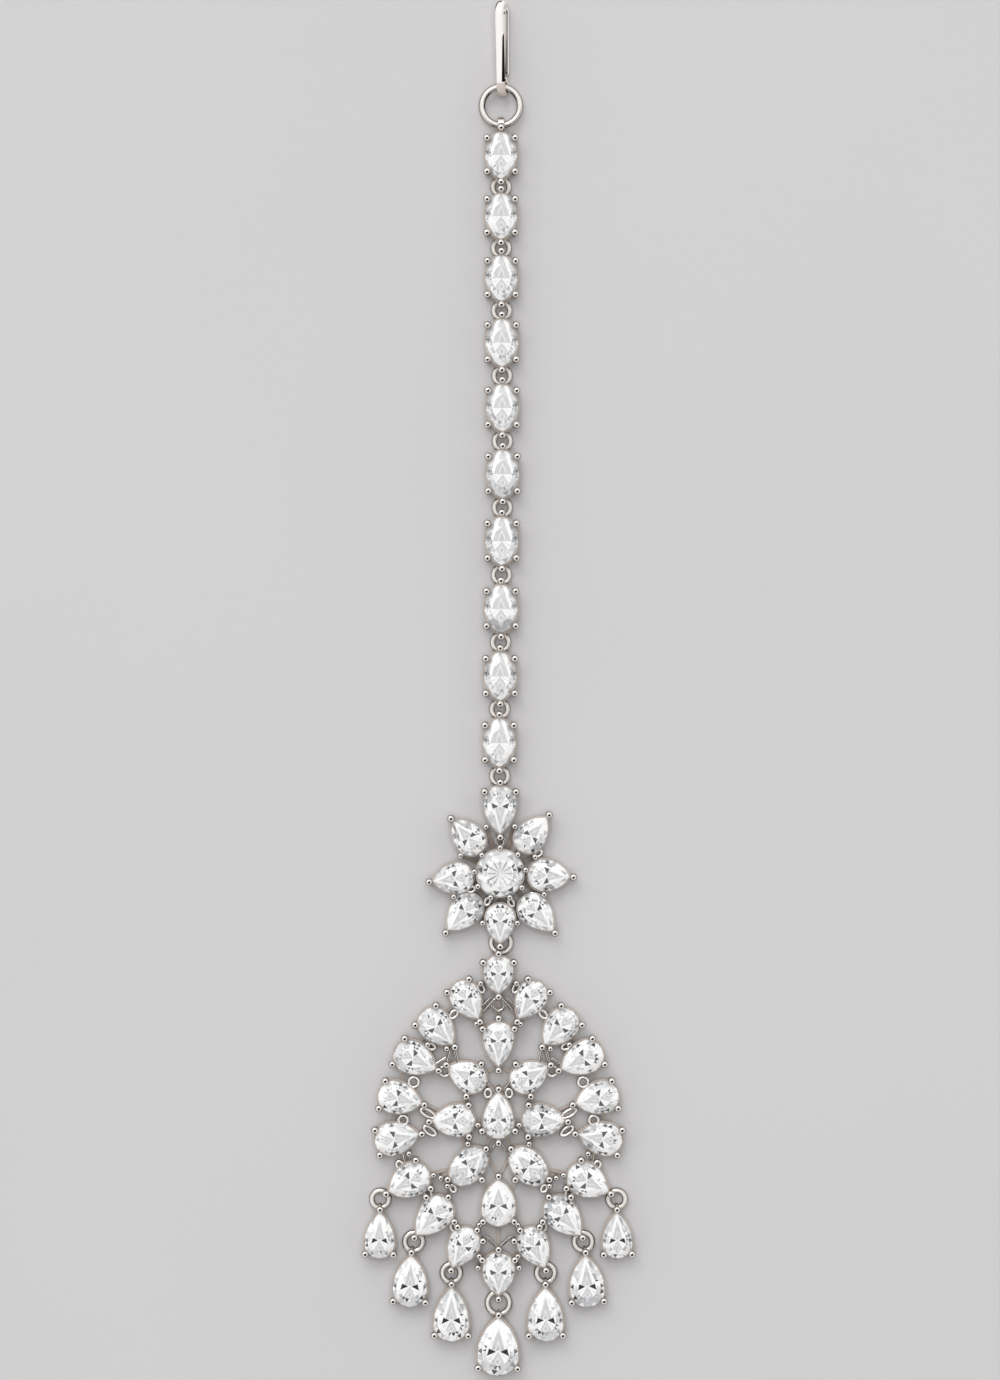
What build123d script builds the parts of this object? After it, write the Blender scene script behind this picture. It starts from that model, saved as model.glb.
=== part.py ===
from build123d import *
import os
from collections import namedtuple
from math import atan2, cos, degrees, hypot, pi, radians, sin, sqrt

# A maang tikka, a jewel for the hair parting, lying face up on a flat surface.
# Millimetres, +Z up. +Y runs up the jewel, from the drops to the hook, and the
# fan is mirrored about X = 0. Settings have open backs: a base rail on the
# surface and a seat rail under the stone, joined by ball-tipped prongs.
# Jump rings lie flat between the two rails, each through the eyes of two neighbours.

# ---- Settings ----
rim = 0.15                # metal that shows round a stone's girdle
tip_stretch = 1.45        # how much further an offset moves a pear's point than its sides
shoulder = radians(6)     # where a pear's round end turns into its flanks
rail_width = 0.35
rail_height = 0.35
seat_drop = 0.27          # seat rail's top below the girdle
prong_radius = 0.27
prong_lead = 0.15         # prong axis outside the rim
bead_radius = 0.46
bead_rise = 0.58          # bead centre above the girdle's lower edge
small_bead_radius = 0.37
link_wire = 0.2           # radius of the small soldered rings and wires
link_height = 1.36        # their wire axis, beside the seat rails

# ---- Cut stones ----
least_girdle_height = 1.8
culet_height = 0.15
pavilion_share = 0.42     # of the stone's width
crown_share = 0.15
girdle_thickness = 0.1
facet_count = 16          # points round the girdle
table_share = 0.56        # table points, of the way from the centre to the girdle
star_share = 0.8
star_rise = 0.59          # star points, of the crown's height
lower_share = 0.25        # lower girdle facets' inner points
lower_rise = 0.23

# ---- Rings and eyes ----
ring_height = 0.71        # wire axis of a flat jump ring
chain_ring_radius = 1.29  # outer
chain_ring_wire = 0.2     # wire radii
drop_ring_wire = 0.225
fan_ring_radius = 1.52
fan_ring_wire = 0.21
fan_ring_place = (0.3, -30.6)
eye_radius = 0.52         # eye's wire axis
eye_wire = 0.19
end_post_foot = 1.05      # end posts start above the ring's wire
end_post_lead = 0.3

hook_ring_place = (0.3, 69.57)
hook_ring_radius = 2.68
hook_ring_wire = 0.4
hook_ring_low = 1.03      # wire axis where it passes the first link's bail
hook_ring_high = 1.2      # wire axis where it passes the hook's eye
bail_inner = 0.52
bail_outer = 0.96
bail_width = 0.8
bail_edge = 0.14          # edge rounding
bail_post_foot = 1.55     # starts above the ring's wire

# ---- Hook ----
hook_width = 1.04         # flattened wire
hook_thickness = 0.68
hook_eye_radius = 0.85    # middle of the wire
hook_leg_length = 8.75
hook_leg_slope = 4        # degrees, upper leg from its eye to the bend
hook_lean = 18            # degrees from upright
hook_end_gap = 0.25       # from the free end to the eye
hook_lift = 0.03          # lowest point above the surface
hook_shift = 0.25         # eye's middle beside the ring's
eye_opening = 12          # degrees

# ---- Layout ----
fan_height = -53.0        # Y of the fan's centre
flower_place = (0.2, -22.2)
base_bar = 0.4            # width of the fan's linking bars

Link = namedtuple("Link", "x y length width")
chain_links = [
    Link(0.30, 63.60, 5.90, 4.15),
    Link(0.30, 56.30, 5.80, 4.15),
    Link(0.35, 48.90, 5.80, 4.20),
    Link(0.40, 41.20, 6.00, 4.25),
    Link(0.45, 33.40, 6.00, 4.25),
    Link(0.50, 25.50, 6.05, 4.30),
    Link(0.40, 17.50, 6.10, 4.30),
    Link(0.30, 9.40, 6.10, 4.30),
    Link(0.20, 1.35, 6.10, 4.30),
    Link(0.10, -6.60, 6.10, 4.25),
]
link_prong_angle = 50     # degrees above and below the stone's short axis

# Each stone's point and its far end, seen from the fan's centre, on the right half.
# Its prongs are angles from the far end in degrees, clockwise.
Stone = namedtuple("Stone", "name cut tip_x tip_y far_x far_y width prongs")
fan_outer = [
    Stone("outer_1", "pear", 2.30, 13.20, 5.10, 17.80, 3.95, (-46, 46)),
    Stone("outer_2", "pear", 5.30, 10.15, 9.15, 14.30, 4.20, (-49, 49)),
    Stone("outer_3", "pear", 7.30, 7.30, 12.50, 9.80, 4.30, (-48, 48)),
    Stone("outer_4", "pear", 9.00, 3.20, 14.50, 4.50, 4.25, (-48, 48)),
    Stone("outer_5", "pear", 9.30, -0.35, 14.90, -1.45, 4.25, (-42, 42)),
    Stone("outer_6", "pear", 13.30, -7.40, 8.25, -4.75, 4.40, (-54, 54)),
    Stone("outer_7", "pear", 9.95, -12.60, 5.85, -8.15, 4.30, (-75, 8, 78)),
    Stone("outer_8", "pear", 5.60, -16.50, 3.10, -11.60, 4.05, (-55, -15, 51)),
]
fan_inner = [
    Stone("inner_a", "pear", 6.10, 7.85, 1.50, 5.25, 4.00, (-77, 86)),
    Stone("inner_b", "pear", 8.15, 1.15, 2.70, 1.25, 4.25, (-56, 56)),
    Stone("inner_c", "oval", 1.60, -2.20, 5.55, -6.30, 4.10, (-15, 90)),
]
fan_spine = [
    Stone("spine_top", "pear", 0.0, 16.20, 0.0, 21.05, 3.95, (-60, 60)),
    Stone("spine_1", "pear", 0.0, 7.40, 0.0, 13.20, 4.05, (-61, 61)),
    Stone("spine_2", "pear", 0.0, 4.90, 0.0, -1.10, 4.05, (-65, 65)),
    Stone("spine_3", "pear", 0.0, -5.50, 0.0, -11.55, 4.45, (-52, 52)),
    Stone("spine_4", "pear", 0.0, -19.90, 0.0, -14.40, 4.25, (-59, 59)),
]
spine_end_beads = ["spine_1", "spine_2", "spine_4"]   # a bead at the round end too

# Small beads and wires soldered between the stones, on the right half.
Place = namedtuple("Place", "x y")
fan_side_beads = [
    Place(2.16, 17.64),
    Place(2.64, 12.78),
    Place(6.18, 9.84),
    Place(8.46, 10.32),
    Place(2.46, 0.72),
    Place(3.66, -1.50),
    Place(10.68, -2.70),
    Place(7.75, -5.25),
    Place(6.90, -5.60),
    Place(6.10, -6.55),
    Place(2.30, -11.20),
    Place(2.30, -14.95),
    Place(2.46, -16.32),
]
Way = namedtuple("Way", "x y end_x end_y")
fan_side_wires = [
    Way(0.90, 15.90, 2.20, 14.50),
    Way(0.50, 15.60, 1.80, 14.20),
    Way(2.50, 13.10, 1.75, 12.06),
    Way(5.60, 9.90, 6.10, 8.10),
    Way(5.22, 9.60, 4.90, 8.10),
    Way(7.40, 8.00, 6.30, 8.70),
    Way(4.30, 4.80, 3.50, 3.70),
    Way(1.60, 6.00, 0.50, 4.60),
    Way(0.00, -1.20, 1.60, -3.60),
    Way(11.35, -2.70, 11.05, -4.30),
    Way(0.00, -14.10, 1.50, -12.70),
]
crown_ring_place = Place(0.0, 15.05)   # small ring under the top stone's point
crown_ring_radius = 0.95

# Bars at the base between two neighbours of the fan; "tip" starts at a point.
Bar = namedtuple("Bar", "first first_at second second_at")
fan_side_bars = [
    Bar("spine_top", "body", "outer_1", "body"),
    Bar("outer_1", "body", "outer_2", "body"),
    Bar("outer_2", "body", "outer_3", "body"),
    Bar("outer_3", "body", "outer_4", "body"),
    Bar("outer_4", "body", "outer_5", "body"),
    Bar("outer_5", "body", "outer_6", "body"),
    Bar("outer_6", "body", "outer_7", "body"),
    Bar("outer_7", "body", "outer_8", "body"),
    Bar("outer_8", "body", "spine_4", "body"),
    Bar("outer_1", "tip", "spine_1", "body"),
    Bar("outer_1", "tip", "spine_top", "tip"),
    Bar("outer_2", "tip", "inner_a", "tip"),
    Bar("outer_3", "tip", "inner_a", "tip"),
    Bar("outer_4", "tip", "inner_b", "body"),
    Bar("outer_5", "tip", "inner_b", "tip"),
    Bar("outer_6", "body", "inner_c", "body"),
    Bar("outer_7", "body", "inner_c", "body"),
    Bar("inner_c", "body", "spine_3", "body"),
    Bar("outer_8", "body", "spine_3", "body"),
    Bar("inner_a", "body", "spine_1", "tip"),
    Bar("inner_a", "body", "spine_2", "tip"),
    Bar("inner_a", "body", "inner_b", "body"),
    Bar("inner_b", "body", "spine_2", "body"),
    Bar("inner_b", "body", "inner_c", "body"),
    Bar("inner_c", "tip", "spine_2", "body"),
    Bar("inner_c", "tip", "spine_3", "tip"),
]
fan_middle_bars = [
    Bar("spine_top", "tip", "spine_1", "body"),
    Bar("spine_3", "body", "spine_4", "body"),
]

Drop = namedtuple("Drop", "ring_x ring_y ring_radius held_by stone")
drop_rows = [
    Drop(14.15, -8.30, 1.38, "outer_6",
         Stone("drop_side", "pear", 14.15, -9.50, 14.25, -15.40, 3.95, (-53, 53))),
    Drop(10.15, -13.40, 1.44, "outer_7",
         Stone("drop_next", "pear", 10.40, -14.60, 10.70, -21.20, 4.50, (-54, 54))),
    Drop(5.65, -17.15, 1.44, "outer_8",
         Stone("drop_near", "pear", 5.60, -18.40, 5.65, -25.30, 4.60, (-56, 56))),
    Drop(0.00, -20.75, 1.68, "spine_4",
         Stone("drop_middle", "pear", 0.00, -22.00, -0.10, -29.35, 5.30, (-57, 57))),
]

# Petals round the flower's centre: bearing of the axis from +X in degrees, then
# how far the round end and the point are from the centre.
Petal = namedtuple("Petal", "bearing near far width")
flower_petals = [
    Petal(90, 10.55, 4.45, 4.30),
    Petal(50, 3.40, 8.95, 3.95),
    Petal(-3, 3.15, 8.60, 4.15),
    Petal(-47.5, 3.85, 9.55, 4.05),
    Petal(-90, 3.50, 8.60, 3.85),
    Petal(-132.5, 3.75, 9.50, 4.05),
    Petal(-173, 3.10, 8.40, 4.05),
    Petal(132, 3.25, 8.65, 4.00),
]
flower_centre_width = 5.9
centre_prong_reach = 3.08
centre_prong_bearings = [90, 47, 8, -33, -68, -112, -150, 176, 135]
flower_beads = [
    Place(-1.68, 5.52),
    Place(1.74, 5.58),
    Place(-4.72, 2.10),
    Place(4.15, 1.95),
    Place(-5.55, -2.80),
    Place(5.25, -2.53),
    Place(-2.10, -5.95),
    Place(2.05, -5.95),
]
flower_ring_reach = 3.72  # small ring between the top petal's point and the centre
flower_ring_radius = 0.72
flower_bar = 0.6


def pearShape(length, width, grow=0.0):
    # The round end's circle is centred on the origin and the point is up +Y.
    radius = width / 2 + grow
    reach = length - width / 2 + tip_stretch * grow
    spread = radius - reach * sin(shoulder)
    flank = (radius ** 2 + reach ** 2 - 2 * reach * radius * sin(shoulder)) / (2 * spread)
    centre = ((radius - flank) * cos(shoulder), (radius - flank) * sin(shoulder))
    return radius, reach, flank, centre


def pearFace(length, width, grow=0.0):
    radius, reach, flank, centre = pearShape(length, width, grow)
    tip_angle = atan2(reach - centre[1], -centre[0])
    middle_angle = (shoulder + tip_angle) / 2
    middle = (centre[0] + flank * cos(middle_angle), centre[1] + flank * sin(middle_angle))
    start = (radius * cos(shoulder), radius * sin(shoulder))
    right = ThreePointArc(start, middle, (0, reach))
    left = ThreePointArc((0, reach), (-middle[0], middle[1]), (-start[0], start[1]))
    bottom = ThreePointArc((-start[0], start[1]), (0, -radius), start)
    return make_face([right, left, bottom])


def ovalFace(length, width, grow=0.0):
    return Ellipse(width / 2 + grow, length / 2 + grow)


def outlineFace(kind, length, width, grow=0.0):
    if kind == "pear":
        return pearFace(length, width, grow)
    return ovalFace(length, width, grow)


def outlineReach(kind, length, width, grow, angle):
    # Distance from the origin to the outline in one direction.
    if kind == "oval":
        across, along = width / 2 + grow, length / 2 + grow
        return across * along / hypot(along * cos(angle), across * sin(angle))
    radius, reach, flank, centre = pearShape(length, width, grow)
    if sin(angle) <= sin(shoulder):
        return radius
    way = abs(cos(angle)) * centre[0] + sin(angle) * centre[1]
    return way + sqrt(way ** 2 - centre[0] ** 2 - centre[1] ** 2 + flank ** 2)


def girdleHeight(width):
    return max(least_girdle_height, culet_height + pavilion_share * (width - 2 * rim))


class Setting:
    # One stone's place: where its origin is, how it is turned, and its outline.
    def __init__(self, kind, x, y, turn, length, width, prongs):
        self.kind, self.x, self.y, self.turn = kind, x, y, turn
        self.length, self.width, self.prongs = length, width, prongs
        self.girdle = girdleHeight(width)

    def place(self, height=0.0):
        return Pos(self.x, self.y, height) * Rot(0, 0, self.turn)

    def point(self, angle, lead=0.0):
        # A point outside the rim in one direction of the setting's own frame.
        reach = outlineReach(self.kind, self.length, self.width, 0.0, radians(angle)) + lead
        whole = radians(angle + self.turn)
        return self.x + reach * cos(whole), self.y + reach * sin(whole)

    def toward(self, target, lead=0.0):
        whole = degrees(atan2(target[1] - self.y, target[0] - self.x))
        return self.point(whole - self.turn, lead)

    def rail(self, height):
        outer = outlineFace(self.kind, self.length, self.width)
        inner = outlineFace(self.kind, self.length, self.width, -rail_width)
        return self.place(height) * extrude(outer - inner, rail_height)

    def rails(self):
        return [self.rail(0.0), self.rail(self.girdle - seat_drop - rail_height)]

    def sidePoints(self):
        return [self.point(angle, prong_lead) for angle in self.prongs]


def fanSetting(row, side=1):
    tip = (side * row.tip_x, row.tip_y + fan_height)
    far = (side * row.far_x, row.far_y + fan_height)
    length = hypot(tip[0] - far[0], tip[1] - far[1])
    along = ((tip[0] - far[0]) / length, (tip[1] - far[1]) / length)
    inset = row.width / 2 if row.cut == "pear" else length / 2
    centre = (far[0] + along[0] * inset, far[1] + along[1] * inset)
    turn = degrees(atan2(along[1], along[0])) - 90
    prongs = [-90 - side * angle for angle in row.prongs]
    return Setting(row.cut, centre[0], centre[1], turn, length, row.width, prongs)


def prong(point, girdle, foot=0.0, bead=bead_radius):
    top = girdle + bead_rise - bead_radius + bead
    post = Cylinder(prong_radius, top - foot, align=(Align.CENTER, Align.CENTER, Align.MIN))
    return Pos(point[0], point[1], foot) * (post + Pos(0, 0, top - foot) * Sphere(bead))


def eye(place, turn, radius=eye_radius, wire=eye_wire, height=ring_height):
    return Pos(place[0], place[1], height) * Rot(0, 0, turn) * Rot(0, 90, 0) * Torus(radius, wire)


def flatRing(place, radius, wire):
    return Pos(place[0], place[1], ring_height) * Torus(radius - wire, wire)


def ringEye(setting, end_angle, ring_place, ring_radius, wire, lead=prong_lead):
    # The eye at a setting's end that a flat ring passes through, with its end post and bead.
    end = setting.point(end_angle)
    away = hypot(end[0] - ring_place[0], end[1] - ring_place[1])
    step = ((end[0] - ring_place[0]) / away, (end[1] - ring_place[1]) / away)
    reach = ring_radius - wire
    crossing = (ring_place[0] + step[0] * reach, ring_place[1] + step[1] * reach)
    turn = degrees(atan2(step[1], step[0])) - 90
    post = prong(setting.point(end_angle, lead), setting.girdle, end_post_foot)
    return [eye(crossing, turn), post]


def smallWire(start, end):
    way = Vector(end[0] - start[0], end[1] - start[1])
    frame = Plane(origin=(start[0], start[1], link_height), z_dir=way)
    return frame * Cylinder(link_wire, way.length, align=(Align.CENTER, Align.CENTER, Align.MIN))


def smallRing(place, radius):
    return Pos(place[0], place[1], link_height) * Torus(radius - link_wire, link_wire)


def fuse(solids):
    return solids[0].fuse(*solids[1:])


# ---- Cut stones ----

def flatFace(points):
    return Face(Wire.make_polygon([Vector(*point) for point in points], close=True))


def cutStone(kind, length, width):
    # A brilliant cut: table, 8 stars, 8 kites and 16 upper facets over the girdle,
    # 16 lower facets and 8 mains under it. The girdle's lower edge is at height 0.
    depth = pavilion_share * (width - 2 * rim)
    crown = girdle_thickness + crown_share * (width - 2 * rim)
    middle = 0.12 * (length - width / 2) if kind == "pear" else 0.0

    def ringPoint(index, share, height):
        angle = pi / 2 + index * 2 * pi / facet_count
        reach = outlineReach(kind, length, width, -rim, angle)
        x, y = reach * cos(angle), reach * sin(angle)
        return x * share, middle + (y - middle) * share, height

    star = girdle_thickness + star_rise * (crown - girdle_thickness)
    culet = (0, middle, -depth)
    table = [ringPoint(index, table_share, crown) for index in range(0, facet_count, 2)]
    faces = [flatFace(table)]
    for index in range(0, facet_count, 2):
        before, after, beyond = index - 1, index + 1, index + 2
        corner = ringPoint(index, table_share, crown)
        low, high = ringPoint(index, 1, 0), ringPoint(index, 1, girdle_thickness)
        for side, edge in ((before, -1), (after, 1)):
            tip = ringPoint(side, star_share, star)
            inner = ringPoint(side, lower_share, -depth * (1 - lower_rise))
            side_low, side_high = ringPoint(side, 1, 0), ringPoint(side, 1, girdle_thickness)
            faces.append(flatFace([corner, tip, high]))
            faces.append(flatFace([tip, high, side_high]))
            faces.append(flatFace([high, side_high, side_low, low]))
            faces.append(flatFace([low, side_low, inner]))
            faces.append(flatFace([low, inner, culet]))
        star_tip = ringPoint(after, star_share, star)
        faces.append(flatFace([corner, star_tip, ringPoint(beyond, table_share, crown)]))
    return Solid(Shell(faces))


def stoneFor(setting):
    return setting.place(setting.girdle) * cutStone(setting.kind, setting.length, setting.width)


# ---- Hook and its ring ----

def hookRingTilt():
    span = 2 * (hook_ring_radius - hook_ring_wire)
    return degrees(atan2(hook_ring_high - hook_ring_low, span))


def makeHookRing():
    height = (hook_ring_low + hook_ring_high) / 2
    place = Pos(hook_ring_place[0], hook_ring_place[1], height) * Rot(hookRingTilt(), 0, 0)
    return place * Torus(hook_ring_radius - hook_ring_wire, hook_ring_wire)


def wireEnd(point):
    # A rounded end for the flattened wire.
    radius = hook_thickness / 2
    half = hook_width / 2 - radius
    balls = [Pos(shift, 0, 0) * Sphere(radius) for shift in (-half, half)]
    bar = Rot(0, 90, 0) * Cylinder(radius, 2 * half)
    return Pos(*point) * fuse([bar] + balls)


def makeHook():
    # Drawn upright in the YZ plane about its eye, then leaned: eye, upper leg, bend, free leg.
    slope = radians(hook_leg_slope)
    radius = hook_eye_radius
    eye_arc = CenterArc((0, 0), radius, -eye_opening, -(270 - hook_leg_slope - eye_opening))
    leg_start = (-radius * sin(slope), radius * cos(slope))
    leg_end = (leg_start[0] + hook_leg_length * cos(slope), leg_start[1] + hook_leg_length * sin(slope))
    bend_radius = (leg_end[1] + radius) / (1 + cos(slope))
    bend_centre = (leg_end[0] + bend_radius * sin(slope), leg_end[1] - bend_radius * cos(slope))
    bend = CenterArc(bend_centre, bend_radius, 90 + hook_leg_slope, -(180 + hook_leg_slope))
    free_end = radius + hook_thickness + hook_end_gap
    free_leg = Line((bend_centre[0], -radius), (free_end, -radius))
    path = Plane.YZ * Wire([eye_arc, Line(leg_start, leg_end), bend, free_leg])
    frame = Plane(origin=path @ 0, x_dir=(1, 0, 0), z_dir=path % 0)
    body = sweep(frame * SlotOverall(hook_width, hook_thickness), path)
    whole = Rot(0, -hook_lean, 0) * fuse([body, wireEnd(path @ 0), wireEnd(path @ 1)])
    height = hook_lift - whole.bounding_box().min.Z
    top_wire = hook_ring_place[1] + hook_ring_radius - hook_ring_wire
    return Pos(hook_ring_place[0] + hook_shift, top_wire, height) * whole


# ---- Chain ----

def chainSettings():
    angles = [link_prong_angle, 180 - link_prong_angle, 180 + link_prong_angle, -link_prong_angle]
    return [Setting("oval", row.x, row.y, 0, row.length, row.width, angles) for row in chain_links]


def chainRingPlaces(links, petal):
    # Each ring is centred in the gap under its link; the last one is over the flower.
    ends = [(link.x, link.y + link.length / 2) for link in links[1:]]
    ends.append(petal.point(-90))
    places = []
    for link, end in zip(links, ends):
        places.append(((link.x + end[0]) / 2, (link.y - link.length / 2 + end[1]) / 2))
    return places


def makeBail(link):
    # The first link's band, round the hook ring's wire, and the bead under it.
    wire_y = hook_ring_place[1] - hook_ring_radius + hook_ring_wire
    band = Cylinder(bail_outer, bail_width)
    band = fillet(band.edges(), bail_edge) - Cylinder(bail_inner, bail_width)
    bead = prong(link.point(90, end_post_lead), link.girdle, bail_post_foot)
    return [Pos(link.x, wire_y, hook_ring_low) * Rot(0, 90, 0) * band, bead]


def makeChainSetting(links, places, index):
    link = links[index]
    solids = link.rails() + [prong(point, link.girdle) for point in link.sidePoints()]
    ring_size = (chain_ring_radius, chain_ring_wire, end_post_lead)
    if index:
        solids += ringEye(link, 90, places[index - 1], *ring_size)
    else:
        solids += makeBail(link)
    solids += ringEye(link, -90, places[index], *ring_size)
    return fuse(solids)


# ---- Flower ----

def petalSettings():
    settings = []
    for row in flower_petals:
        bearing = radians(row.bearing)
        across = (cos(bearing), sin(bearing))
        pointing = 1 if row.far > row.near else -1
        centre = row.near + pointing * row.width / 2
        turn = row.bearing - 90 if pointing > 0 else row.bearing + 90
        x = flower_place[0] + centre * across[0]
        y = flower_place[1] + centre * across[1]
        settings.append(Setting("pear", x, y, turn, abs(row.far - row.near), row.width, [-145, -35]))
    return settings


def flowerCentre():
    return Setting("oval", flower_place[0], flower_place[1], 0,
                   flower_centre_width, flower_centre_width, [])


def fromFlower(bearing, reach):
    angle = radians(bearing)
    return flower_place[0] + reach * cos(angle), flower_place[1] + reach * sin(angle)


def makeFlowerSetting(petals, centre, top_ring):
    top = petals[0]
    solids = centre.rails()
    for petal in petals:
        near = petal.toward(flower_place, -rail_width / 2)
        solids += petal.rails() + [prong(petal.point(90, prong_lead), petal.girdle)]
        solids.append(baseBar(near, centre.toward(near, -rail_width / 2), flower_bar))
    solids += [prong(point, top.girdle) for point in top.sidePoints()]
    solids += ringEye(top, -90, top_ring, chain_ring_radius, chain_ring_wire, end_post_lead)
    for bearing in centre_prong_bearings:
        point = fromFlower(bearing, centre_prong_reach)
        solids.append(prong(point, centre.girdle, 0.0, small_bead_radius))
    for row in flower_beads:
        point = (flower_place[0] + row.x, flower_place[1] + row.y)
        solids.append(prong(point, least_girdle_height, 0.0, small_bead_radius))
        solids.append(baseBar(point, centre.toward(point, -rail_width / 2), flower_bar))
    ring = fromFlower(flower_petals[0].bearing, flower_ring_reach)
    solids.append(smallRing(ring, flower_ring_radius))
    return fuse(solids)


# ---- Fan ----

def baseBar(start, end, width=base_bar):
    # A flat bar with round ends, on the surface.
    length = hypot(end[0] - start[0], end[1] - start[1])
    middle = Pos((start[0] + end[0]) / 2, (start[1] + end[1]) / 2)
    turn = Rot(0, 0, degrees(atan2(end[1] - start[1], end[0] - start[0])))
    return extrude(middle * turn * SlotCenterToCenter(length, width), rail_height)


def fanSettings():
    settings = {row.name: fanSetting(row) for row in fan_spine}
    for side, label in ((1, "right"), (-1, "left")):
        for row in fan_outer + fan_inner:
            settings[f"{row.name}_{label}"] = fanSetting(row, side)
    return settings


def barBetween(settings, bar, label):
    first = settings.get(bar.first) or settings[f"{bar.first}_{label}"]
    second = settings.get(bar.second) or settings[f"{bar.second}_{label}"]
    ends = []
    for setting, place, other in ((first, bar.first_at, second), (second, bar.second_at, first)):
        target = other.point(90) if bar.first_at != bar.second_at else (other.x, other.y)
        inset = -rail_width / 2
        ends.append(setting.point(90, inset) if place == "tip" else setting.toward(target, inset))
    return baseBar(*ends)


def nearestRail(settings, point):
    # The closest point on the rails of all settings.
    ends = [setting.toward(point, -rail_width / 2) for setting in settings.values()]
    return min(ends, key=lambda end: hypot(end[0] - point[0], end[1] - point[1]))


def fanBeads(settings):
    # Small ball-tipped posts, each joined to its nearest rail at the base.
    solids = []
    for side in (1, -1):
        for row in fan_side_beads:
            point = (side * row.x, row.y + fan_height)
            solids.append(prong(point, least_girdle_height, 0.0, small_bead_radius))
            solids.append(baseBar(point, nearestRail(settings, point)))
    return solids


def fanWires():
    solids = []
    for side in (1, -1):
        for row in fan_side_wires:
            start = (side * row.x, row.y + fan_height)
            solids.append(smallWire(start, (side * row.end_x, row.end_y + fan_height)))
    return solids


def makeFanFrame(settings, drops):
    held = {}
    for drop in drops:
        held[drop.holder] = drop
    solids = []
    for name, setting in settings.items():
        solids += setting.rails() + [prong(point, setting.girdle) for point in setting.sidePoints()]
        if name in held:
            solids += ringEye(setting, 90, held[name].ring, held[name].ring_radius, drop_ring_wire)
        else:
            solids.append(prong(setting.point(90, prong_lead), setting.girdle))
        if name in spine_end_beads:
            solids.append(prong(setting.point(-90, end_post_lead), setting.girdle))
    solids += ringEye(settings["spine_top"], -90, fan_ring_place, fan_ring_radius, fan_ring_wire)
    for bar in fan_side_bars:
        solids += [barBetween(settings, bar, label) for label in ("right", "left")]
    solids += [barBetween(settings, bar, "right") for bar in fan_middle_bars]
    solids.append(smallRing((crown_ring_place.x, crown_ring_place.y + fan_height), crown_ring_radius))
    return fuse(solids).fuse(*fanBeads(settings)).fuse(*fanWires())


# ---- Drops ----

class HangingDrop:
    def __init__(self, row, side):
        self.setting = fanSetting(row.stone, side)
        self.ring = (side * row.ring_x, row.ring_y + fan_height)
        self.ring_radius = row.ring_radius
        label = "right" if side > 0 else "left"
        self.holder = row.held_by if row.ring_x == 0 else f"{row.held_by}_{label}"

    def metal(self):
        solids = self.setting.rails()
        solids += [prong(point, self.setting.girdle) for point in self.setting.sidePoints()]
        solids += ringEye(self.setting, 90, self.ring, self.ring_radius, drop_ring_wire)
        return fuse(solids)

    def jumpRing(self):
        return flatRing(self.ring, self.ring_radius, drop_ring_wire)


def hangingDrops():
    # From left to right.
    left = [HangingDrop(row, -1) for row in drop_rows[:-1]]
    right = [HangingDrop(row, 1) for row in drop_rows]
    return left + right[::-1]


# ---- Assembly ----

def allNodes():
    links = chainSettings()
    petals = petalSettings()
    centre = flowerCentre()
    fan = fanSettings()
    drops = hangingDrops()
    ring_places = chainRingPlaces(links, petals[0])
    nodes = {"hook": makeHook(), "hook_ring": makeHookRing()}
    for index, link in enumerate(links):
        nodes[f"chain_setting_{index + 1:02d}"] = makeChainSetting(links, ring_places, index)
        nodes[f"chain_stone_{index + 1:02d}"] = stoneFor(link)
    rings = [flatRing(place, chain_ring_radius, chain_ring_wire) for place in ring_places]
    nodes["chain_rings"] = Compound(rings)
    nodes["flower_setting"] = makeFlowerSetting(petals, centre, ring_places[-1])
    nodes["flower_centre_stone"] = stoneFor(centre)
    for index, petal in enumerate(petals):
        nodes[f"flower_petal_stone_{index + 1}"] = stoneFor(petal)
    nodes["fan_ring"] = flatRing(fan_ring_place, fan_ring_radius, fan_ring_wire)
    nodes["fan_frame"] = makeFanFrame(fan, drops)
    outer = [stoneFor(fan[name]) for name in fan if name.startswith("outer")]
    inner = [stoneFor(fan[name]) for name in fan if not name.startswith("outer")]
    nodes["fan_stones_outer"] = Compound(outer)
    nodes["fan_stones_inner"] = Compound(inner)
    for index, drop in enumerate(drops):
        nodes[f"drop_setting_{index + 1}"] = drop.metal()
        nodes[f"drop_stone_{index + 1}"] = stoneFor(drop.setting)
    nodes["drop_rings"] = Compound([drop.jumpRing() for drop in drops])
    return nodes


def centred(nodes):
    # The origin is under the middle of the whole jewel, on the surface it lies on.
    boxes = [shape.bounding_box() for shape in nodes.values()]
    left, right = min(box.min.X for box in boxes), max(box.max.X for box in boxes)
    front, back = min(box.min.Y for box in boxes), max(box.max.Y for box in boxes)
    shift = Pos(-(left + right) / 2, -(front + back) / 2, -min(box.min.Z for box in boxes))
    return {name: shift * shape for name, shape in nodes.items()}


os.makedirs("parts", exist_ok=True)
for node_name, node_shape in centred(allNodes()).items():
    export_step(node_shape, f"parts/{node_name}.step")
    print(node_name, round(node_shape.volume, 3))
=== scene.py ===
from math import atan2, cos, hypot, pi, radians, sin

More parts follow.
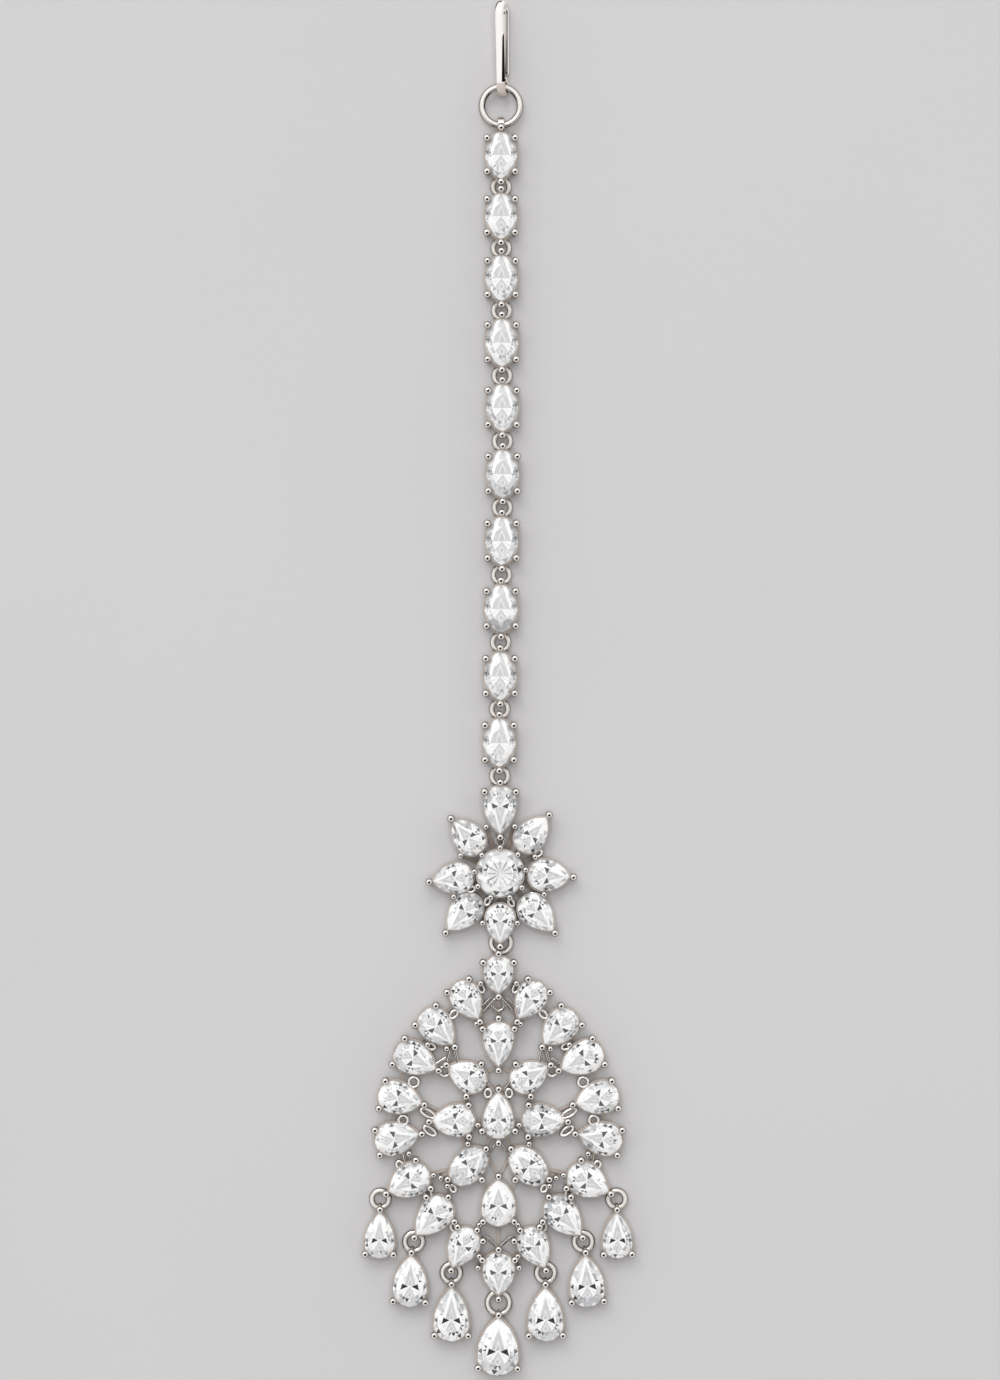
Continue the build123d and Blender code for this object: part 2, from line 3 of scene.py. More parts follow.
import bmesh
import bpy
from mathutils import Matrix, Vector


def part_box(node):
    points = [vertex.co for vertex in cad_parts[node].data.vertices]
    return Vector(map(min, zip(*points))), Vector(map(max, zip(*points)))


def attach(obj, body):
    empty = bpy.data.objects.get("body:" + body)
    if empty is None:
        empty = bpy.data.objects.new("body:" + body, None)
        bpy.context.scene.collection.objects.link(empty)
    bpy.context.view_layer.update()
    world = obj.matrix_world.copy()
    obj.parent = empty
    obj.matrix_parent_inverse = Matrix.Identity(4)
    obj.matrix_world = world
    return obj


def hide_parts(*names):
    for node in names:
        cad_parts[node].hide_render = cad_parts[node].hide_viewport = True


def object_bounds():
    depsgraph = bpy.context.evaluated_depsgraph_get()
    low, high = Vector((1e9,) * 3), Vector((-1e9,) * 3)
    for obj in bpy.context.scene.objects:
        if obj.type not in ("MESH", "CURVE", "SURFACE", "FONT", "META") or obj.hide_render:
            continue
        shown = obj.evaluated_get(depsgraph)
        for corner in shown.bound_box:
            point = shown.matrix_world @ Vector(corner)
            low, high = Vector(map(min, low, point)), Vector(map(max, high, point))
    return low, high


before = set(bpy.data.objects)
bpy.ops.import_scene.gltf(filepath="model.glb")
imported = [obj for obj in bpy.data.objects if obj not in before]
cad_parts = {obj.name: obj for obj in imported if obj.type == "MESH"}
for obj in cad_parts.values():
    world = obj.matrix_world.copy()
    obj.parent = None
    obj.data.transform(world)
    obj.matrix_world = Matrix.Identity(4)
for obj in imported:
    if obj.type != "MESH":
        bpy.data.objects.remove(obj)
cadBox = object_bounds()
mm = 0.001
weldReach = 0.002 * mm      # points of a solid's mesh that are nearer than this are one
noiseRange = (0.3, 0.7)     # where most values of a noise lie
bpy.context.scene.view_settings.view_transform = "Standard"


# for materials
def newMaterial(name):
    material = bpy.data.materials.new(name)
    material.use_nodes = True
    return material, material.node_tree, material.node_tree.nodes["Principled BSDF"]


def solid(colour):
    return (*colour, 1)


def feed(tree, socket, value):
    if isinstance(value, bpy.types.NodeSocket):
        tree.links.new(value, socket)
    else:
        socket.default_value = value


def maths(tree, operation, first, second=0.0, third=None):
    node = tree.nodes.new("ShaderNodeMath")
    node.operation = operation
    feed(tree, node.inputs[0], first)
    feed(tree, node.inputs[1], second)
    if third is not None:
        feed(tree, node.inputs[2], third)
    return node.outputs[0]


def times(tree, first, *others):
    for other in others:
        first = maths(tree, "MULTIPLY", first, other)
    return first


def largest(tree, first, *others):
    for other in others:
        first = maths(tree, "MAXIMUM", first, other)
    return first


def scaled(tree, value, factor, added):
    return maths(tree, "MULTIPLY_ADD", value, factor, added)


def unsigned(tree, value):
    return maths(tree, "ABSOLUTE", value)


def under(tree, value, limit):
    return maths(tree, "LESS_THAN", value, limit)


def over(tree, value, limit):
    return maths(tree, "GREATER_THAN", value, limit)


def ranged(tree, value, low, high, toLow=0.0, toHigh=1.0):
    node = tree.nodes.new("ShaderNodeMapRange")
    names = ("Value", "From Min", "From Max", "To Min", "To Max")
    for name, given in zip(names, (value, low, high, toLow, toHigh)):
        feed(tree, node.inputs[name], given)
    return node.outputs["Result"]


def blended(tree, share, first, second, way="MIX"):
    # inputs 6 and 7 and output 2 are the node's colour sockets
    node = tree.nodes.new("ShaderNodeMix")
    node.data_type = "RGBA"
    node.blend_type = way
    feed(tree, node.inputs[0], share)
    feed(tree, node.inputs[6], first)
    feed(tree, node.inputs[7], second)
    return node.outputs[2]


def vectorMaths(tree, operation, first, second=None):
    node = tree.nodes.new("ShaderNodeVectorMath")
    node.operation = operation
    feed(tree, node.inputs[0], first)
    if second is not None:
        feed(tree, node.inputs[1], second)
    return node


def parts(tree, vector):
    # its X, Y and Z
    node = tree.nodes.new("ShaderNodeSeparateXYZ")
    tree.links.new(vector, node.inputs[0])
    return node.outputs


def placeOn(tree):
    return tree.nodes.new("ShaderNodeTexCoord").outputs["Object"]


def facing(tree):
    return tree.nodes.new("ShaderNodeNewGeometry").outputs["Normal"]


def noise(tree, place, scale, detail):
    node = tree.nodes.new("ShaderNodeTexNoise")
    node.inputs["Scale"].default_value = scale
    node.inputs["Detail"].default_value = detail
    tree.links.new(place, node.inputs["Vector"])
    return node.outputs["Fac"]


def chance(tree, key):
    # from 0 to 1, the same for the same key
    node = tree.nodes.new("ShaderNodeTexWhiteNoise")
    node.noise_dimensions = "1D"
    tree.links.new(key, node.inputs["W"])
    return node.outputs["Value"]


def stepped(tree, value, steps):
    # one plain colour from each step's place on
    node = tree.nodes.new("ShaderNodeValToRGB")
    ramp = node.color_ramp
    ramp.interpolation = "CONSTANT"
    for step, (place, colour) in enumerate(steps):
        element = ramp.elements[step] if step < 2 else ramp.elements.new(place)   # it starts with two
        element.position = place
        element.color = solid(colour)
    tree.links.new(value, node.inputs["Fac"])
    return node.outputs["Color"]


# for meshes
def looseParts(mesh):
    # the places of the points of each separate part
    work = bmesh.new()
    work.from_mesh(mesh)
    bmesh.ops.remove_doubles(work, verts=work.verts, dist=weldReach)
    left = set(work.verts)
    found = []
    while left:
        part, queue = [], [left.pop()]
        while queue:
            point = queue.pop()
            part.append(point.co.copy())
            for edge in point.link_edges:
                other = edge.other_vert(point)
                if other in left:
                    left.remove(other)
                    queue.append(other)
        found.append(part)
    work.free()
    return found


def finishedMesh(made, name):
    bmesh.ops.recalc_face_normals(made, faces=made.faces)
    mesh = bpy.data.meshes.new(name)
    made.to_mesh(mesh)
    made.free()
    return mesh


def newPiece(name, mesh, material):
    mesh.materials.append(material)
    piece = bpy.data.objects.new(name, mesh)
    bpy.context.scene.collection.objects.link(piece)
    return piece


# the camera straight above, the floor and the lamps
cameraPlan = {
    "lens": 100.0,          # mm
    "viewLength": 165.6,    # mm of the floor along the view's long side
    "aim": (0.18, -0.20),   # mm, the view's middle from the middle of the jewel
    "clip": (0.01, 10.0),   # m
}

floorPlan = {
    "size": 3.0,                        # m
    "colour": (0.614, 0.603, 0.608),
    "mottle": 0.012,                    # how far the paper's tone wanders
    "mottleScale": 14.0,
    "mottleDetail": 2.0,
    "roughness": 0.9,
    "shine": 0.1,
}

studioPlan = {
    "worldLevel": 0.84,
    "worldColour": (1.0, 1.0, 1.0),
    "darkLevel": 0.02,       # of the dark round patch overhead
    "darkPlace": (0.08, -0.29, 1.0),
    "darkAngle": 40.0,       # degrees
    "darkSoft": 5.0,
}

lampPlan = {                 # place in m, size in m, level in W
    "key": {"place": (-0.48, 1.20, 1.50), "size": (1.26, 0.78), "level": 9.0, "mirrored": True},
    "overhead": {"place": (0.0, 0.02, 0.95), "size": (0.60, 0.75), "level": 4.3, "mirrored": False},
}


def makeCamera():
    middle = (cadBox[0] + cadBox[1]) / 2
    data = bpy.data.cameras.new("camera")
    data.lens = cameraPlan["lens"]
    data.clip_start, data.clip_end = cameraPlan["clip"]
    away = cameraPlan["viewLength"] * mm * data.lens / data.sensor_width
    camera = bpy.data.objects.new("camera", data)
    aimX, aimY = cameraPlan["aim"]
    camera.location = (middle.x + aimX * mm, middle.y + aimY * mm, away)
    bpy.context.scene.collection.objects.link(camera)
    bpy.context.scene.camera = camera


def makePaper():
    material, tree, shader = newMaterial("floorPaper")
    mottle = noise(tree, placeOn(tree), floorPlan["mottleScale"], floorPlan["mottleDetail"])
    drift = ranged(tree, mottle, *noiseRange, 1 - floorPlan["mottle"], 1 + floorPlan["mottle"])
    colour = vectorMaths(tree, "SCALE", floorPlan["colour"])
    tree.links.new(drift, colour.inputs["Scale"])
    tree.links.new(colour.outputs["Vector"], shader.inputs["Base Color"])
    shader.inputs["Roughness"].default_value = floorPlan["roughness"]
    shader.inputs["Specular IOR Level"].default_value = floorPlan["shine"]
    return material


def makeFloor():
    half = floorPlan["size"] / 2
    corners = [(-half, -half, 0), (half, -half, 0), (half, half, 0), (-half, half, 0)]
    mesh = bpy.data.meshes.new("floor")
    mesh.from_pydata(corners, [], [(0, 1, 2, 3)])
    floor = newPiece("floor", mesh, makePaper())
    floor.location.z = cadBox[0].z


def makeLamps():
    for name, plan in lampPlan.items():
        data = bpy.data.lights.new(name, "AREA")
        data.shape = "RECTANGLE"
        data.size, data.size_y = plan["size"]
        data.energy = plan["level"]
        lamp = bpy.data.objects.new(name, data)
        lamp.location = plan["place"]
        lamp.visible_glossy = plan["mirrored"]
        lamp.rotation_euler = Vector(plan["place"]).to_track_quat("Z", "Y").to_euler()
        bpy.context.scene.collection.objects.link(lamp)


def makeWorld():
    world = bpy.data.worlds.new("studio")
    bpy.context.scene.world = world
    world.use_nodes = True
    tree = world.node_tree
    back = tree.nodes["Background"]
    way = tree.nodes.new("ShaderNodeTexCoord").outputs["Generated"]
    toward = vectorMaths(tree, "DOT_PRODUCT", way, Vector(studioPlan["darkPlace"]).normalized())
    inner, soft = studioPlan["darkAngle"], studioPlan["darkSoft"]
    level = ranged(tree, toward.outputs["Value"], cos(radians(inner + soft)), cos(radians(inner)),
                   studioPlan["worldLevel"], studioPlan["darkLevel"])
    tree.links.new(level, back.inputs["Strength"])
    back.inputs["Color"].default_value = solid(studioPlan["worldColour"])


makeCamera()
makeFloor()
makeLamps()
makeWorld()
print("studio ready")


# plated metal, one shared effect with a finish for each kind of piece
metalPlan = {
    "colour": (0.97, 0.935, 0.90),
    "warmShadeColour": (0.48, 0.405, 0.35),   # painted shade, down between the stones
    "shadeHeight": (0.40, 1.30),          # mm, all painted shade below the first, none above the second
    "shadeLeast": 0.75,                   # of the painted warm shade, where the blotches take most of it
    # colour of the painted dark reflections on the metal's flanks
    "flankReflectionColour": (0.25, 0.185, 0.14),
    "wallShare": 0.30,                   # of the flanks' painted dark reflection, on plain upright walls
    "wallFacing": (0.03, 0.25),          # how far up a side faces: a wall below the first
    "roughness": (0.07, 0.17),
    "flatRoughness": 0.7,                # flat tops left as cast
    "flatMetallic": 0.15,
    "blotchScale": 900.0,
    "blotchDetail": 3.0,
    "grain": 0.05,
    "grainScale": 9000.0,
    "grainDetail": 2.0,
    "grainDepth": 0.02,                  # mm
    # each finish: how much painted warm shade; how dark the painted flanks are and how far up they face,
    # all dark below Low; how far up a flat top faces, all flat above High, and its share of the same
    # warm tone
    "setting": {"Warm Shade Amount": 0.90, "Flank Amount": 0.85, "Flank Low": 0.42, "Flank High": 0.88,
                "Flat Low": 0.9985, "Flat High": 0.9995, "Flat Warm": 0.80},
    # darker painted shade for the flower's setting, down between its petals
    "nested": {"Warm Shade Colour": (0.25, 0.19, 0.15, 1), "Warm Shade Amount": 0.95,
               "Flank Amount": 0.90, "Flank Low": 0.42, "Flank High": 0.88,
               "Flat Low": 0.9985, "Flat High": 0.9995, "Flat Warm": 0.50},
    "link": {"Warm Shade Amount": 0.10, "Flank Amount": 0.95, "Flank Low": 0.58, "Flank High": 0.92,
             "Flat Low": 0.93, "Flat High": 0.985, "Flat Warm": 0.0},
    "polished": {"Warm Shade Amount": 0.25, "Flank Amount": 0.80, "Flank Low": 0.12, "Flank High": 0.52,
                 "Flat Low": 0.9985, "Flat High": 0.9995, "Flat Warm": 0.0},
}

castSockets = {
    "INPUT": {"NodeSocketColor": ("Colour", "Warm Shade Colour", "Flank Reflection Colour"),
              "NodeSocketFloat": ("Warm Shade Amount", "Flank Amount", "Flank Low", "Flank High",
                                  "Flat Low", "Flat High", "Flat Warm")},
    "OUTPUT": {"NodeSocketColor": ("Colour",),
               "NodeSocketFloat": ("Roughness", "Metallic", "Height")},
}


def makeCastEffect():
    # polish and grain, painted warm shade in low places with the same tone on flat tops, and painted
    # dark reflections on the flanks
    tree = bpy.data.node_groups.new("castMetal", "ShaderNodeTree")
    for side, kinds in castSockets.items():
        for kind, names in kinds.items():
            for name in names:
                tree.interface.new_socket(name=name, in_out=side, socket_type=kind)
    given = tree.nodes.new("NodeGroupInput").outputs
    out = tree.nodes.new("NodeGroupOutput").inputs
    place = placeOn(tree)
    height = parts(tree, place)["Z"]
    upward = parts(tree, facing(tree))["Z"]
    level = unsigned(tree, upward)
    blotch = noise(tree, place, metalPlan["blotchScale"], metalPlan["blotchDetail"])
    grain = noise(tree, place, metalPlan["grainScale"], metalPlan["grainDetail"])
    low, high = (cadBox[0].z + edge * mm for edge in metalPlan["shadeHeight"])
    # painted shade: the warm tone, full below the low height and gone above the high one
    depth = ranged(tree, height, low, high, 1.0, 0.0)
    wander = ranged(tree, blotch, *noiseRange, metalPlan["shadeLeast"], 1.0)
    warmShade = times(tree, depth, wander, given["Warm Shade Amount"])
    # painted dark reflections on the flanks, weaker on plain upright walls
    flank = ranged(tree, level, given["Flank Low"], given["Flank High"], 1.0, 0.0)
    upright = ranged(tree, level, *metalPlan["wallFacing"], metalPlan["wallShare"], 1.0)
    shade = times(tree, flank, upright, given["Flank Amount"])
    flat = ranged(tree, upward, given["Flat Low"], given["Flat High"])
    warmShade = largest(tree, warmShade, times(tree, flat, given["Flat Warm"]))
    colour = blended(tree, warmShade, given["Colour"], given["Warm Shade Colour"])
    colour = blended(tree, shade, colour, given["Flank Reflection Colour"])
    polish = ranged(tree, blotch, *noiseRange, *metalPlan["roughness"])
    rough = ranged(tree, flat, 0.0, 1.0, polish, metalPlan["flatRoughness"])
    metallic = ranged(tree, flat, 0.0, 1.0, 1.0, metalPlan["flatMetallic"])
    tree.links.new(colour, out["Colour"])
    tree.links.new(rough, out["Roughness"])
    tree.links.new(metallic, out["Metallic"])
    tree.links.new(grain, out["Height"])
    return tree


def makeMetal(name, castMetal, finish):
    material, tree, shader = newMaterial(name)
    cast = tree.nodes.new("ShaderNodeGroup")
    cast.name = "cast"
    cast.node_tree = castMetal
    cast.inputs["Colour"].default_value = solid(metalPlan["colour"])
    cast.inputs["Warm Shade Colour"].default_value = solid(metalPlan["warmShadeColour"])
    cast.inputs["Flank Reflection Colour"].default_value = solid(metalPlan["flankReflectionColour"])
    for socket, value in metalPlan[finish].items():
        cast.inputs[socket].default_value = value
    bump = tree.nodes.new("ShaderNodeBump")
    bump.inputs["Strength"].default_value = metalPlan["grain"]
    bump.inputs["Distance"].default_value = metalPlan["grainDepth"] * mm
    tree.links.new(cast.outputs["Height"], bump.inputs["Height"])
    tree.links.new(cast.outputs["Colour"], shader.inputs["Base Color"])
    tree.links.new(cast.outputs["Roughness"], shader.inputs["Roughness"])
    tree.links.new(bump.outputs["Normal"], shader.inputs["Normal"])
    tree.links.new(cast.outputs["Metallic"], shader.inputs["Metallic"])
    return material


hookPlan = {                            # places are shares of the hook's length, from its eye
    "stripe": (0.14, 0.62),             # where the painted shade stripe starts and ends
    "stripeEdge": (-0.20, 0.35),        # how far to the right the wire faces at its left edge, there
    "stripeSoft": 0.08,
    "stripeSlant": (-0.06, 0.03),       # of its end: how oblique, and how much is cut off
    "stripeShadeColour": (0.012, 0.010, 0.009),
    "upperLeg": 0.47,                   # of the hook's height, over which only the upper leg is
    "crescent": (0.80, 0.98),           # where the painted shade crescent starts, and how far up and left the wire faces
    "eyeColour": (0.66, 0.57, 0.53),
    "eyeSoft": 0.02,
    "satin": (0.5, 0.2),                # roughness and metallic of the plain upper leg
    "highlightColour": (0.98, 0.965, 0.95),
    "highlightShare": 0.7,                  # share of the painted highlight colour over the upper leg
}


def makeHookMetal(castMetal):
    # polished wire with a satin upper leg painted paler as a highlight, a darker pinkish tone at its
    # eye, and on it a painted shade stripe and a small painted shade crescent
    material = makeMetal("polishedMetal", castMetal, "polished")
    tree = material.node_tree
    cast, shader = tree.nodes["cast"].outputs, tree.nodes["Principled BSDF"].inputs
    spot, face = parts(tree, placeOn(tree)), parts(tree, facing(tree))
    low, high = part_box("hook")
    along = ranged(tree, spot["Y"], low.y, high.y)
    upper = over(tree, spot["Z"], low.z + hookPlan["upperLeg"] * (high.z - low.z))

    # painted shade: a dark stripe on the wire's right side, and a dark crescent at the bend
    start, end = hookPlan["stripe"]
    slant, cut = hookPlan["stripeSlant"]
    edge = ranged(tree, along, start, end, *hookPlan["stripeEdge"])
    stripe = ranged(tree, maths(tree, "SUBTRACT", face["X"], edge), 0.0, hookPlan["stripeSoft"])
    beforeEnd = under(tree, scaled(tree, face["X"], slant, along), end - cut)
    stripe = times(tree, stripe, beforeEnd, over(tree, along, start), upper)
    crescentStart, lean = hookPlan["crescent"]
    turned = maths(tree, "SUBTRACT", face["Y"], face["X"])
    crescent = times(tree, over(tree, turned, lean), over(tree, along, crescentStart), upper)
    dark = largest(tree, stripe, crescent)

    eye = ranged(tree, along, start - hookPlan["eyeSoft"], start, 1.0, 0.0)
    # painted highlight: the upper leg's colour made paler and whiter
    highlightShare = times(tree, upper, hookPlan["highlightShare"])
    colour = blended(tree, highlightShare, cast["Colour"], solid(hookPlan["highlightColour"]))
    colour = blended(tree, eye, colour, solid(hookPlan["eyeColour"]))
    colour = blended(tree, dark, colour, solid(hookPlan["stripeShadeColour"]))
    satin = times(tree, maths(tree, "SUBTRACT", 1.0, dark), upper)
    satinRough, satinMetallic = hookPlan["satin"]
    rough = ranged(tree, satin, 0.0, 1.0, cast["Roughness"], satinRough)
    metallic = ranged(tree, satin, 0.0, 1.0, cast["Metallic"], satinMetallic)
    tree.links.new(colour, shader["Base Color"])
    tree.links.new(rough, shader["Roughness"])
    tree.links.new(metallic, shader["Metallic"])
    return material


ringMetalPlan = {
    "arcs": ((160.0, 38.0), (38.0, 24.0)),   # degrees: middle and half length of each painted shade arc
    "core": 0.7,                             # of an arc's length, in which it is fully dark
    "inward": (0.30, 0.42),                  # how far in the wire faces where they start and are full
    # colour of the painted shade arcs
    "colour": (0.055, 0.038, 0.028),
    "strength": 0.9,
}


def makeRingMetal(castMetal):
    # the large ring, with painted shade: dark arcs on its inner side
    material = makeMetal("ringMetal", castMetal, "link")
    tree = material.node_tree
    cast, shader = tree.nodes["cast"].outputs, tree.nodes["Principled BSDF"].inputs
    low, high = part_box("hook_ring")
    away = vectorMaths(tree, "SUBTRACT", placeOn(tree), (low + high) / 2)
    outward = vectorMaths(tree, "NORMALIZE", away.outputs["Vector"]).outputs["Vector"]

    def along(direction):
        return vectorMaths(tree, "DOT_PRODUCT", outward, direction).outputs["Value"]

    inward = times(tree, along(facing(tree)), -1.0)
    arcs = 0.0
    for bearing, half in ringMetalPlan["arcs"]:
        turned = along((cos(radians(bearing)), sin(radians(bearing)), 0.0))
        core = half * ringMetalPlan["core"]
        arc = ranged(tree, turned, cos(radians(half)), cos(radians(core)))
        arcs = largest(tree, arc, arcs)
    inside = ranged(tree, inward, *ringMetalPlan["inward"])
    shade = times(tree, arcs, inside, ringMetalPlan["strength"])
    colour = blended(tree, shade, cast["Colour"], solid(ringMetalPlan["colour"]))
    tree.links.new(colour, shader["Base Color"])
    return material


castMetal = makeCastEffect()
settingMetal = makeMetal("settingMetal", castMetal, "setting")
linkMetal = makeMetal("linkMetal", castMetal, "link")
nestedMetal = makeMetal("nestedMetal", castMetal, "nested")
ringMetal = makeRingMetal(castMetal)
polishedMetal = makeHookMetal(castMetal)
print("metal ready")


# the cut stones, rebuilt on the solids' own corners, their facets' white, grey and dark tones painted
# reflections
# facets are placed on a map where every stone is round, 1 in radius, with its tip up
stonePlan = {
    "ior": 1.75,
    "roughness": 0.03,
    "white": (0.985, 0.985, 0.985),
    "pale": (0.72, 0.725, 0.735),
    "grey": (0.50, 0.505, 0.52),
    "edge": (0.44, 0.42, 0.40),
    "dark": (0.045, 0.045, 0.05),
    # how strongly the painted dark bow reflection shows across a stone's middle, by what is in a node's
    # name
    "bow": {"drop": 1.0, "chain": 0.30, "centre": 0.0, "stone": 0.9},
    "kiteFrom": 0.1,                       # least bow of a stone with kites, so all but the centre
    "wingFrom": 0.5,                       # least bow of one with dark wings, so not the chain's
    "band": 0.03,                          # half width of the waist between upper and lower half
    "seedSteps": (0.137, 0.071, 0.0193),   # by a stone's number, its name's length and letters
    # where each step starts, and what is seen from there on
    "toneSteps": ((0.0, "grey"), (0.08, "pale"), (0.38, "white")),
    "speckSteps": ((0.0, 1.0), (0.42, 0.80), (0.66, 0.55), (0.86, 0.07)),
    "upperBands": ((0.0, 0.74), (0.12, 0.25), (0.17, 0.64), (0.36, 0.0)),
    "lowerBands": ((0.0, 0.75), (0.10, 0.20), (0.15, 0.62), (0.30, 0.0)),
    # rings of facets: number round the stone, rings from middle to girdle, how deep they zigzag
    "broadCells": {"count": 8.0, "rings": 2.6, "zigzag": 0.9, "salt": 0.0},
    "fineCells": {"count": 16.0, "rings": 5.2, "zigzag": 0.0, "salt": 400.0},
    "fineShift": 0.5,                      # of a turn, where the fine ones are counted from
    "cellKeys": (17.3, 1.71, 91.7),        # what tells rings, sectors and stones apart
    "blackSpecks": (0.45, 0.8),            # height they stay below, and the cap on specks elsewhere
    "shoulder": (1.3, 1.02, 0.85),         # painted grey shade on the chain's ovals: roundness, start and share
    "veil": 0.35,                          # share of painted grey reflection over their upper half
    "kiteLean": (0.50, 0.80),              # of the upper and the lower kite
    "lowerKite": 0.40,                     # how far its middle is below the stone's
    "ovalKites": (0.7, 0.92),              # the chain's, of the others': slope (less is wider), strength
    "clearPlace": 0.50,                    # few specks further in than this in the upper half
    "clearReach": 0.56,                    # or nearer the middle than this
    "middleSpecks": 0.20,                  # share of the specks that still shows there
    "waist": 0.55,                         # strength of the painted grey reflection at the waist of the chain's ovals
    "rays": (12.0, 0.07, 0.34),            # number round a stone, width and strength
    "plainRays": 0.4,                      # added strength on the plain centre stone
    # dark spokes and grey wedges of the plain centre stone, each by its own chance
    "spokeKeys": (2.37, 53.1),             # what tells spokes and stones apart
    "spokeWidth": 0.14,
    "spokeStart": 0.07,                    # from the middle
    "spokeEnds": (0.30, 0.66),             # at the least and the most chance
    "spokeChance": (0.25, 1.0),
    "spokeStrength": (0.04, 0.66),         # at those chances
    "wedge": (0.55, 0.50, 0.30),           # least chance, reach and strength
    # edges of the painted dark reflection wings beside the middle: slope and height, then slope and how
    # far out
    "wingTop": (0.70, -0.08),
    "wingFoot": (-0.20, 0.01),
    "wingEnd": (0.45, 0.50),
    # painted darker reflection facets at both sides, and what the chain's ovals add to each
    "sideHeight": (0.16, 0.22),            # middle and half height
    "sideStart": (0.76, -0.14),
    "sideCorner": (0.72, -0.30),           # strength of small facets
    "sidePlain": (0.12, 0.18),             # strength between them
}


def weldedStones(mesh):
    # the separate stones of a node's mesh, each as its points from the top down
    stones = [sorted(part, key=lambda place: -place.z) for part in looseParts(mesh)]
    return sorted(stones, key=lambda points: (round(points[-1].y, 6), round(points[-1].x, 6)))


def aroundCulet(points, culet, start):
    slack = 0.02     # radians, so that a point at the start itself comes first

    def turned(point):
        angle = atan2(point.y - culet.y, point.x - culet.x) - start
        return (angle + slack) % (2 * pi)

    return sorted(points, key=turned)


def cutFaces(points):
    # the faces of a brilliant cut, each corner as its point and its place on the map
    # from the top: 8 of the table, 8 stars, 16 high and 16 low round the girdle, 8 inner, the culet
    table, stars, high, low = points[:8], points[8:16], points[16:32], points[32:48]
    inner, culet = points[48:56], points[56]

    def awayOf(point):
        return hypot(point.x - culet.x, point.y - culet.y)

    tip = max(high, key=lambda point: (round(awayOf(point), 6), point.y))
    start = atan2(tip.y - culet.y, tip.x - culet.x)
    table, high, low = (aroundCulet(ring, culet, start) for ring in (table, high, low))
    stars, inner = (aroundCulet(ring, culet, start) for ring in (stars, inner))
    middle = Vector((culet.x, culet.y, table[0].z))
    girdle = [awayOf(point) for point in high]

    def mapped(point, step):
        share = awayOf(point) / girdle[step % 16]
        angle = step * pi / 8
        return (point, 0.5 + 0.5 * share * sin(angle), 0.5 + 0.5 * share * cos(angle))

    top, bottom = mapped(middle, 0), mapped(culet, 0)
    table = [mapped(point, 2 * step) for step, point in enumerate(table)]
    stars = [mapped(point, 2 * step + 1) for step, point in enumerate(stars)]
    inner = [mapped(point, 2 * step + 1) for step, point in enumerate(inner)]
    high = [mapped(point, step) for step, point in enumerate(high)]
    low = [mapped(point, step) for step, point in enumerate(low)]
    faces = []
    for step in range(8):
        after = (step + 1) % 8
        one, two, three = 2 * step, 2 * step + 1, (2 * step + 2) % 16
        faces.append((top, table[step], table[after]))
        faces.append((table[step], stars[step], table[after]))
        faces.append((table[step], high[one], stars[step]))
        faces.append((table[after], stars[step], high[three]))
        faces.append((stars[step], high[one], high[two]))
        faces.append((stars[step], high[two], high[three]))
        faces.append((high[one], low[one], low[two], high[two]))
        faces.append((high[two], low[two], low[three], high[three]))
        faces.append((low[one], inner[step], low[two]))
        faces.append((low[two], inner[step], low[three]))
        faces.append((low[three], inner[step], bottom))
        faces.append((low[one], bottom, inner[step]))
    return faces


def cutMesh(name, mesh, bow):
    # the same cut as the solids, with a point at the table's middle and the facets' maps
    made = bmesh.new()
    facetMap = made.loops.layers.uv.new("facetMap")
    seedMap = made.loops.layers.uv.new("seedMap")
    byNumber, byLength, byLetters = stonePlan["seedSteps"]
    letters = sum(map(ord, name))
    for index, points in enumerate(weldedStones(mesh)):
        seed = (index * byNumber + len(name) * byLength + letters * byLetters) % 1.0
        spots = {}

        def pointAt(place):
            key = tuple(round(value, 8) for value in place)   # to a hundredth of a micrometre
            if key not in spots:
                spots[key] = made.verts.new(place)
            return spots[key]

        for corners in cutFaces(points):
            face = made.faces.new([pointAt(corner[0]) for corner in corners])
            for loop, corner in zip(face.loops, corners):
                loop[facetMap].uv = corner[1:]
                loop[seedMap].uv = (seed, bow)
    return finishedMesh(made, name)


def readStone(tree):
    # the place on the map, the stone's seed and what kind of stone it is
    def mapParts(name):
        node = tree.nodes.new("ShaderNodeUVMap")
        node.uv_map = name
        return parts(tree, node.outputs["UV"])

    spot, mark = mapParts("facetMap"), mapParts("seedMap")
    across = ranged(tree, spot["X"], 0.0, 1.0, -1.0, 1.0)
    along = ranged(tree, spot["Y"], 0.0, 1.0, -1.0, 1.0)
    squares = maths(tree, "ADD", times(tree, across, across), times(tree, along, along))
    angle = maths(tree, "ARCTAN2", across, along)
    kited = over(tree, mark["Y"], stonePlan["kiteFrom"])
    winged = over(tree, mark["Y"], stonePlan["wingFrom"])
    return {
        "along": along,
        "sideways": unsigned(tree, across),
        "above": over(tree, along, stonePlan["band"]),
        "below": under(tree, along, -stonePlan["band"]),
        "reach": maths(tree, "SQRT", squares),
        "turn": maths(tree, "DIVIDE", angle, 2 * pi),
        "seed": mark["X"],
        "bow": mark["Y"],
        "kited": kited,
        "winged": winged,
        "oval": maths(tree, "SUBTRACT", kited, winged),
        "plain": maths(tree, "SUBTRACT", 1.0, kited),
    }


